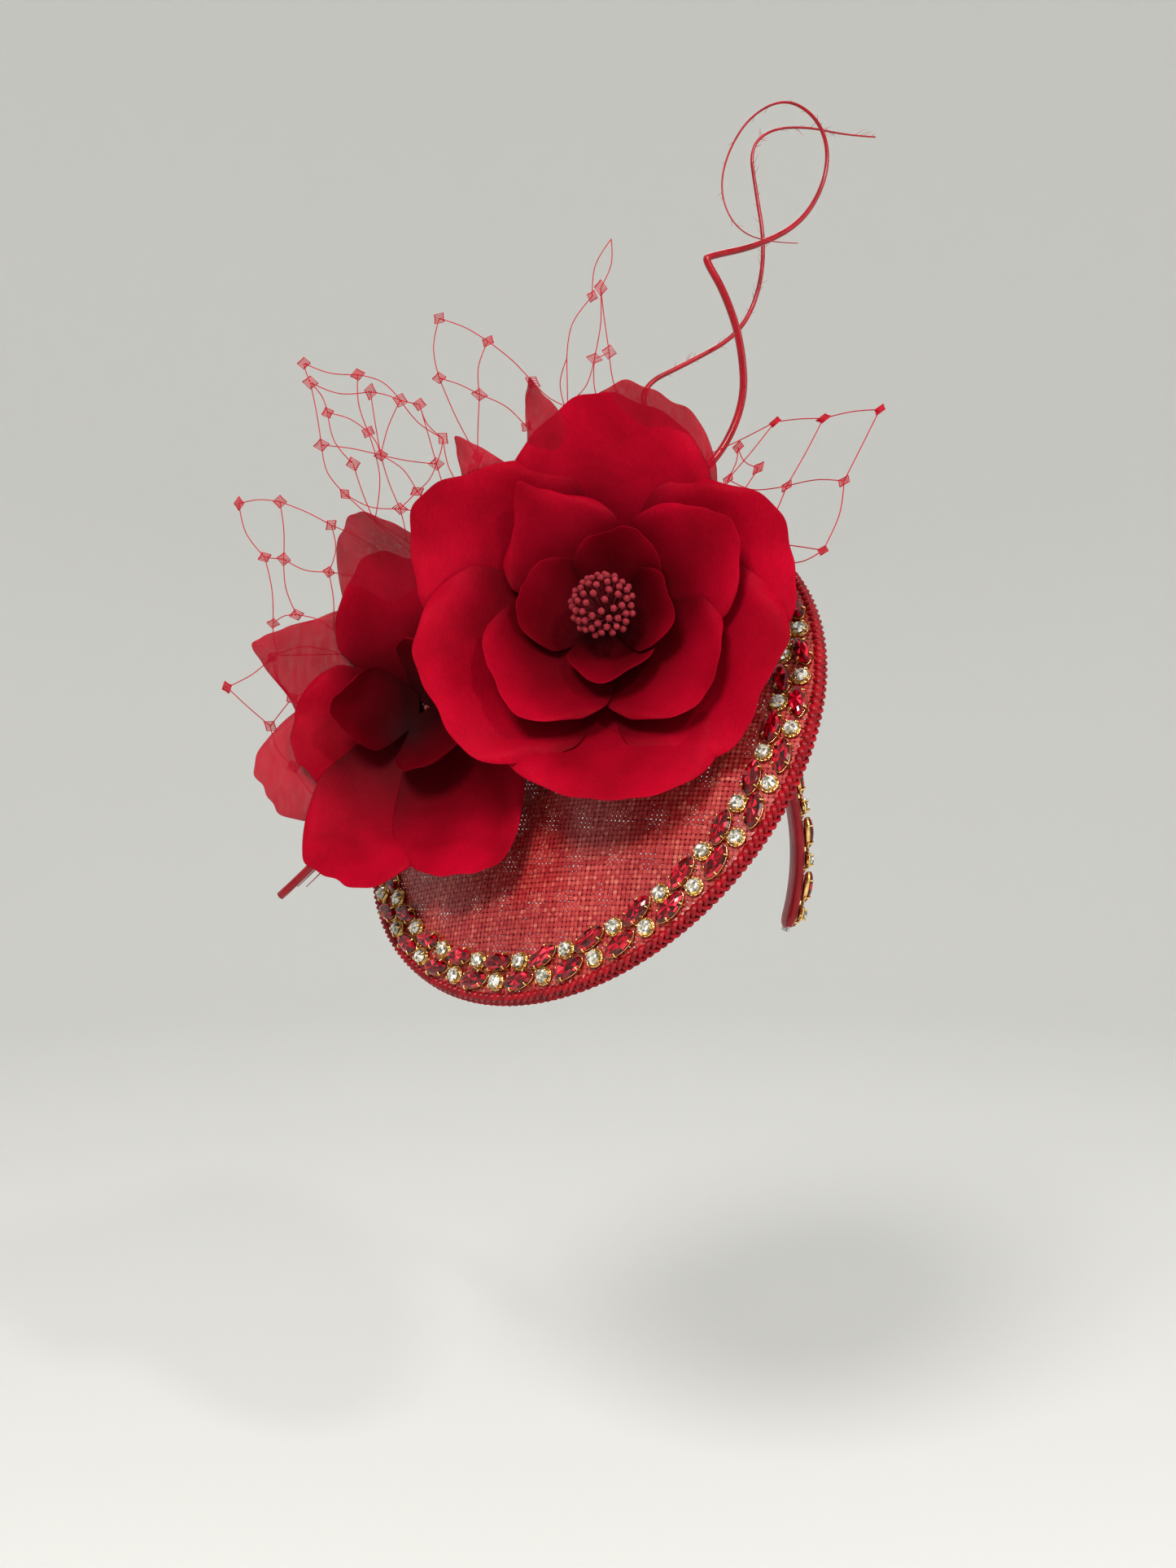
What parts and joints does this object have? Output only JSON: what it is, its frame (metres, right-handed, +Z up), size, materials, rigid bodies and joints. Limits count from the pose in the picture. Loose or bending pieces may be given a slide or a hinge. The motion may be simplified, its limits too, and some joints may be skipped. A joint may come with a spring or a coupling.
{
  "type": "fascinator headpiece",
  "caption": "Tilted sinamay percher disc on a sprung headband, with silk rose blooms, curled quills, veiling and a jewelled braided rim.",
  "frame": {"origin": "centre of the inner arc of the headband crown, in the middle of the band width", "axes": "+Z up, the wearer faces -Y, +X is the wearer's left; +Y is the axis of the crown arc, pointing to the back of the head"},
  "size_m": [0.3055, 0.2144, 0.4029],
  "materials": {
    "sinamay": "glossy open straw weave",
    "braid": "glossy twisted braid",
    "wire": "drawn wire",
    "gold": "polished",
    "ruby": "faceted red",
    "crystal": "faceted clear",
    "band_core": "spring strip",
    "satin_band": "smooth red satin",
    "thread": "sewing thread",
    "organza": "sheer, crisp",
    "silk": "satin silk",
    "stamen": "dull, grainy",
    "stem_wrap": "wrapped wire",
    "quill": "glossy stripped quill",
    "veiling": "fine open net"
  },
  "bodies": {
    "hat": {"band_core_crown": "band_core", "band_cover_crown": "satin_band", "band_stitches": "thread", "bloom_inner_petal_1": "silk", "bloom_inner_petal_2": "silk", "bloom_inner_petal_3": "silk", "bloom_outer_petal_1": "silk", "bloom_outer_petal_2": "silk", "bloom_outer_petal_3": "silk", "bloom_outer_petal_4": "silk", "bloom_outer_petal_5": "silk", "bloom_stem": "stem_wrap", "edge_braid": "braid", "organza_petal_1": "organza", "organza_petal_2": "organza", "organza_petal_3": "organza", "organza_petal_4": "organza", "organza_petal_5": "organza", "organza_petal_6": "organza", "quill_binding": "thread", "quill_long_shaft": "quill", "rim_clear_stones": "crystal", "rim_ruby_stones": "ruby", "rim_settings": "gold", "rim_wire": "wire", "rose_inner_petal_1": "silk", "rose_inner_petal_2": "silk", "rose_inner_petal_3": "silk", "rose_inner_petal_4": "silk", "rose_middle_petal_1": "silk", "rose_middle_petal_2": "silk", "rose_middle_petal_3": "silk", "rose_middle_petal_4": "silk", "rose_outer_petal_1": "silk", "rose_outer_petal_2": "silk", "rose_outer_petal_3": "silk", "rose_outer_petal_4": "silk", "rose_outer_petal_5": "silk", "rose_outer_petal_6": "silk", "rose_stamen_heads": "stamen", "rose_stem": "stem_wrap", "sinamay_top_layer": "sinamay", "sinamay_under_layer": "sinamay", "veil_tuft_1": "veiling", "veil_tuft_2": "veiling", "veil_tuft_3": "veiling", "veil_tuft_4": "veiling", "veil_tuft_5": "veiling"},
    "band_left": {"band_left_clear_stones": "crystal", "band_left_core": "band_core", "band_left_cover": "satin_band", "band_left_ruby_stones": "ruby", "band_left_settings": "gold"},
    "band_right": {"band_right_clear_stones": "crystal", "band_right_core": "band_core", "band_right_cover": "satin_band", "band_right_ruby_stones": "ruby", "band_right_settings": "gold"},
    "quill_long": {"quill_long_curl": "quill"},
    "quill_short": {"quill_short": "quill"}
  },
  "joints": [
    {"name": "band_left_flex", "type": "hinge", "parent": "hat", "child": "band_left", "pos_m": [0.06452, 0, 0.03725], "axis": [0, -1, 0], "range_deg": [-1, 6], "stiffness_Nm_per_rad": 0.6},
    {"name": "band_right_flex", "type": "hinge", "parent": "hat", "child": "band_right", "pos_m": [-0.06452, 0, 0.03725], "axis": [0, 1, 0], "range_deg": [-1, 6], "stiffness_Nm_per_rad": 0.6},
    {"name": "quill_long_sway", "type": "hinge", "parent": "hat", "child": "quill_long", "pos_m": [-0.02362, 0.01248, 0.12008], "axis": [-0.2076, -0.9768, 0.0523], "range_deg": [-4, 4], "stiffness_Nm_per_rad": 0.15},
    {"name": "quill_short_sway", "type": "hinge", "parent": "hat", "child": "quill_short", "pos_m": [-0.02896, 0.02246, 0.11332], "axis": [-0.2076, -0.9768, 0.0523], "range_deg": [-4, 4], "stiffness_Nm_per_rad": 0.15}
  ]
}
